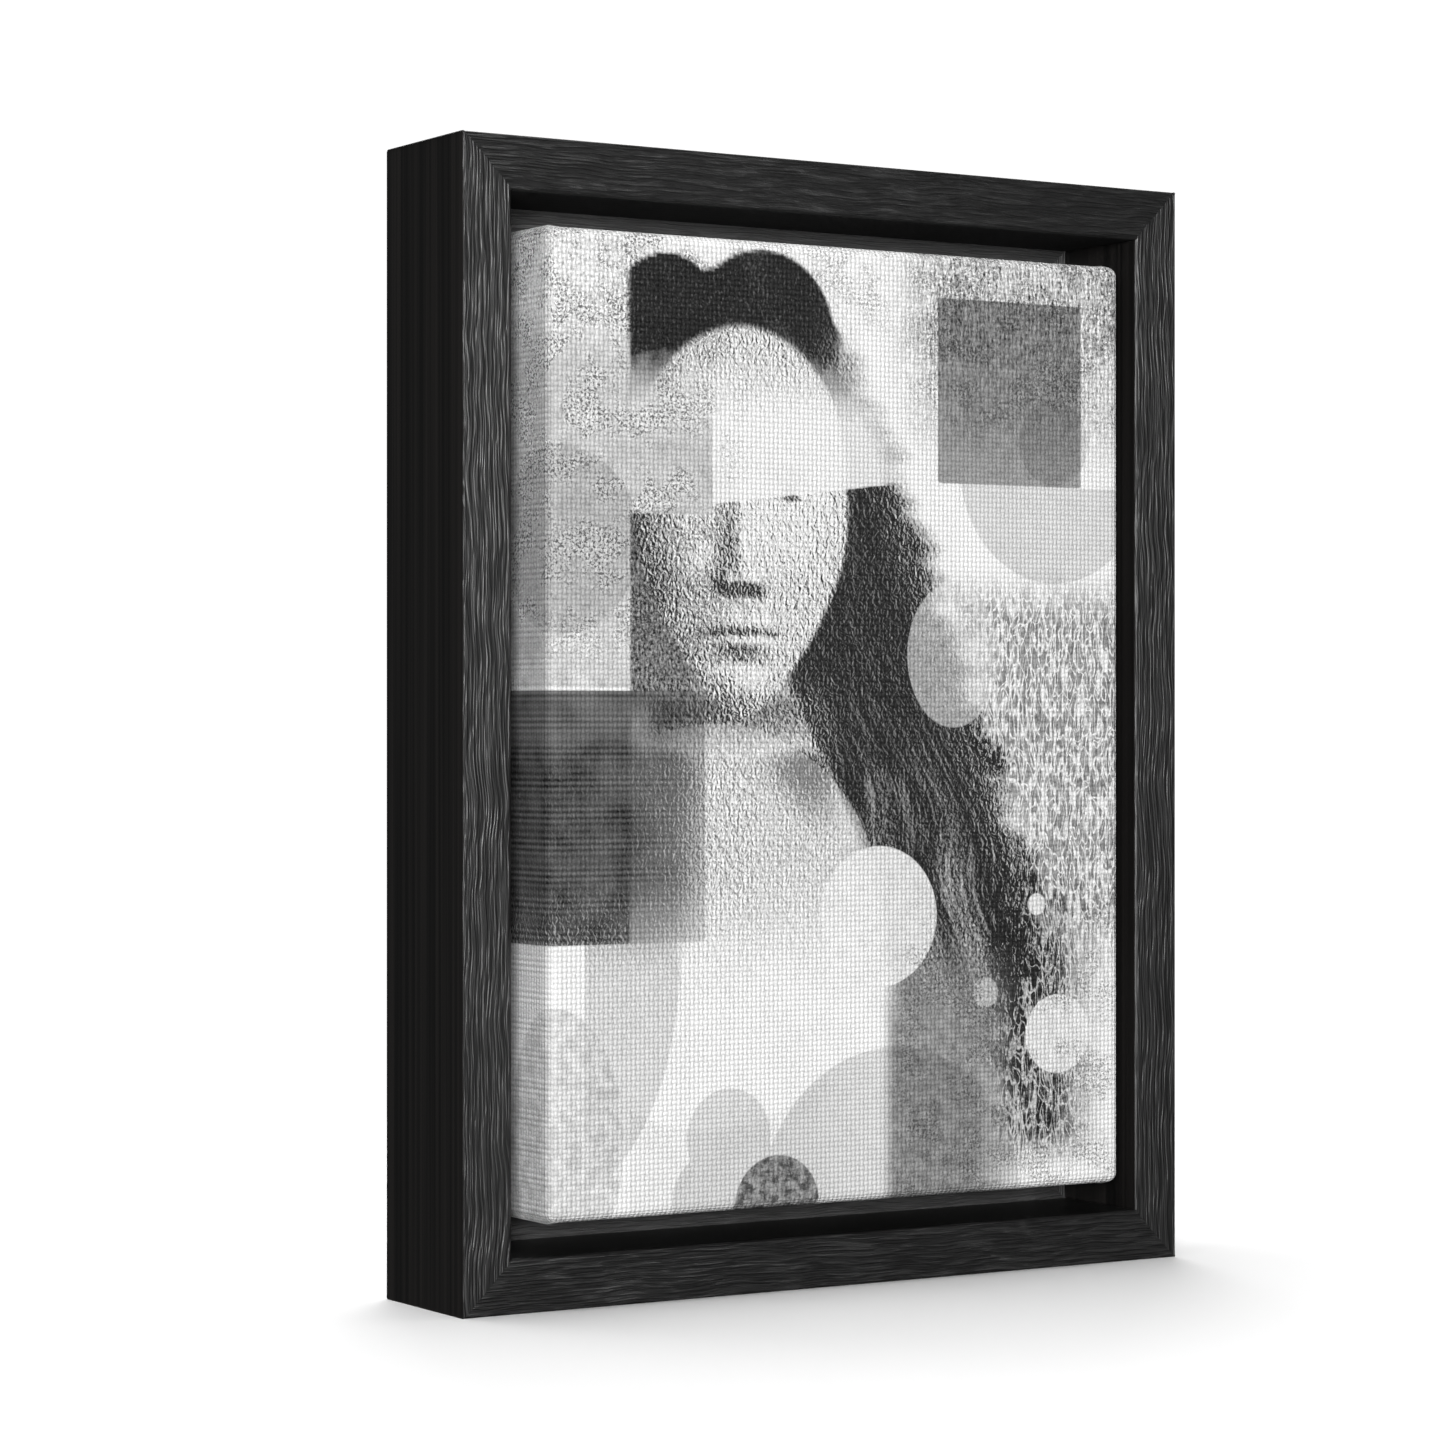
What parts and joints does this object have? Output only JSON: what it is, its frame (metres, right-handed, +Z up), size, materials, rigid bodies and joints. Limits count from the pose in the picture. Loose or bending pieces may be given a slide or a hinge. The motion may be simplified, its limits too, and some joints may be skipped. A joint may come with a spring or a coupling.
{
  "type": "framed stretched canvas",
  "caption": "Small portrait canvas stretched on keyed wooden bars, held in a black wooden floater frame with a shadow gap and a sawtooth hanger.",
  "frame": {"origin": "middle of the frame's bottom edge, at half of the whole depth", "axes": "+X to the viewer's right, +Z up along the long side, the picture faces -Y and the wall side is +Y"},
  "size_m": [0.1588, 0.0352, 0.2096],
  "materials": {
    "black_wood": "black stained open-grain wood, satin",
    "bare_pine": "bare planed softwood",
    "printed_canvas": "matte primed cotton canvas with a black and white print",
    "bright_steel": "zinc plated",
    "black_rubber": "soft matte rubber"
  },
  "bodies": {
    "framed_canvas": {"frame_rail_bottom": "black_wood", "frame_rail_top": "black_wood", "frame_rail_left": "black_wood", "frame_rail_right": "black_wood", "stretcher_bar_bottom": "bare_pine", "stretcher_bar_top": "bare_pine", "stretcher_bar_left": "bare_pine", "stretcher_bar_right": "bare_pine", "canvas": "printed_canvas", "v_nail_bottom_left_wall": "bright_steel", "v_nail_bottom_left_ledge": "bright_steel", "v_nail_bottom_right_wall": "bright_steel", "v_nail_bottom_right_ledge": "bright_steel", "v_nail_top_left_wall": "bright_steel", "v_nail_top_left_ledge": "bright_steel", "v_nail_top_right_wall": "bright_steel", "v_nail_top_right_ledge": "bright_steel", "staple_bottom_1": "bright_steel", "staple_bottom_2": "bright_steel", "staple_bottom_3": "bright_steel", "staple_top_1": "bright_steel", "staple_top_2": "bright_steel", "staple_top_3": "bright_steel", "staple_left_1": "bright_steel", "staple_left_2": "bright_steel", "staple_left_3": "bright_steel", "staple_left_4": "bright_steel", "staple_right_1": "bright_steel", "staple_right_2": "bright_steel", "staple_right_3": "bright_steel", "staple_right_4": "bright_steel", "fixing_screw_left_1": "bright_steel", "fixing_screw_left_2": "bright_steel", "fixing_screw_right_1": "bright_steel", "fixing_screw_right_2": "bright_steel", "sawtooth_hanger": "bright_steel", "hanger_brad_left": "bright_steel", "hanger_brad_right": "bright_steel", "wall_bumper_left": "black_rubber", "wall_bumper_right": "black_rubber"},
    "key_bottom_low": {"corner_key_bottom_low": "bare_pine"},
    "key_bottom_high": {"corner_key_bottom_high": "bare_pine"},
    "key_top_low": {"corner_key_top_low": "bare_pine"},
    "key_top_high": {"corner_key_top_high": "bare_pine"},
    "key_left_low": {"corner_key_left_low": "bare_pine"},
    "key_left_high": {"corner_key_left_high": "bare_pine"},
    "key_right_low": {"corner_key_right_low": "bare_pine"},
    "key_right_high": {"corner_key_right_high": "bare_pine"}
  },
  "joints": [
    {"name": "key_bottom_low_slide", "type": "slide", "parent": "framed_canvas", "child": "key_bottom_low", "axis": [0, 0, 1], "range_m": [-0.001, 0.009]},
    {"name": "key_bottom_high_slide", "type": "slide", "parent": "framed_canvas", "child": "key_bottom_high", "axis": [0, 0, 1], "range_m": [-0.001, 0.009]},
    {"name": "key_top_low_slide", "type": "slide", "parent": "framed_canvas", "child": "key_top_low", "axis": [0, 0, -1], "range_m": [-0.001, 0.009]},
    {"name": "key_top_high_slide", "type": "slide", "parent": "framed_canvas", "child": "key_top_high", "axis": [0, 0, -1], "range_m": [-0.001, 0.009]},
    {"name": "key_left_low_slide", "type": "slide", "parent": "framed_canvas", "child": "key_left_low", "axis": [1, 0, 0], "range_m": [-0.001, 0.009]},
    {"name": "key_left_high_slide", "type": "slide", "parent": "framed_canvas", "child": "key_left_high", "axis": [1, 0, 0], "range_m": [-0.001, 0.009]},
    {"name": "key_right_low_slide", "type": "slide", "parent": "framed_canvas", "child": "key_right_low", "axis": [-1, 0, 0], "range_m": [-0.001, 0.009]},
    {"name": "key_right_high_slide", "type": "slide", "parent": "framed_canvas", "child": "key_right_high", "axis": [-1, 0, 0], "range_m": [-0.001, 0.009]}
  ]
}
